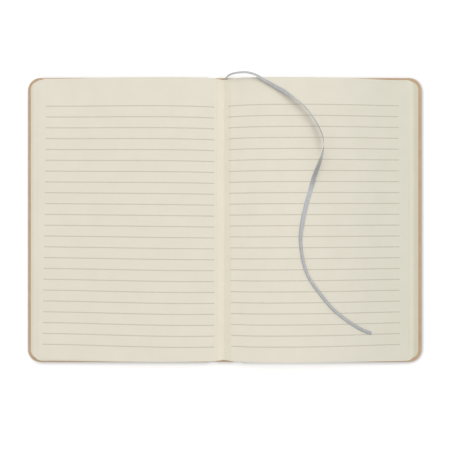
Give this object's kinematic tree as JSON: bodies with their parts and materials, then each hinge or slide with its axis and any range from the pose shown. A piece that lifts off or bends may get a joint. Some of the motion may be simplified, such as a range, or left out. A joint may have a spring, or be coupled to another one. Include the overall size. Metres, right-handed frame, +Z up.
{
  "type": "ruled notebook",
  "caption": "Hardback ruled notebook lying open at its middle, with rounded corners, arched cream leaves, hinged covers and a flat ribbon marker.",
  "frame": {"origin": "under the middle of the spine, midway between head and tail, at the level the covers lie on", "axes": "+X across the spread towards the right page, +Y towards the head of the book, +Z up"},
  "size_m": [0.2956, 0.2154, 0.0221],
  "materials": {
    "cover_board": "matte tan covering paper over board",
    "lining_paper": "rough off-white lining",
    "endpaper": "matte cream endpaper",
    "leaf_paper": "matte cream writing paper",
    "ruling_ink": "pale grey printed line",
    "ribbon_satin": "woven grey satin"
  },
  "bodies": {
    "back_half": {"back_cover": "cover_board", "back_endpaper": "endpaper", "right_pages": "leaf_paper", "right_ruling": "ruling_ink", "ribbon": "ribbon_satin"},
    "spine_panel": {"spine": "cover_board", "spine_lining": "lining_paper", "sewn_back": "leaf_paper"},
    "front_half": {"front_cover": "cover_board", "front_endpaper": "endpaper", "left_pages": "leaf_paper", "left_ruling": "ruling_ink"}
  },
  "joints": [
    {"name": "spine_hinge", "type": "hinge", "parent": "back_half", "child": "spine_panel", "pos_m": [0.0071, 0, 0.0004], "axis": [0, 1, 0], "range_deg": [0, 90], "deforming": ["right_pages", "right_ruling", "sewn_back", "ribbon"]},
    {"name": "front_cover_hinge", "type": "hinge", "parent": "spine_panel", "child": "front_half", "pos_m": [-0.0071, 0, 0.0004], "axis": [0, 1, 0], "range_deg": [0, 90], "deforming": ["left_pages", "left_ruling"]}
  ]
}
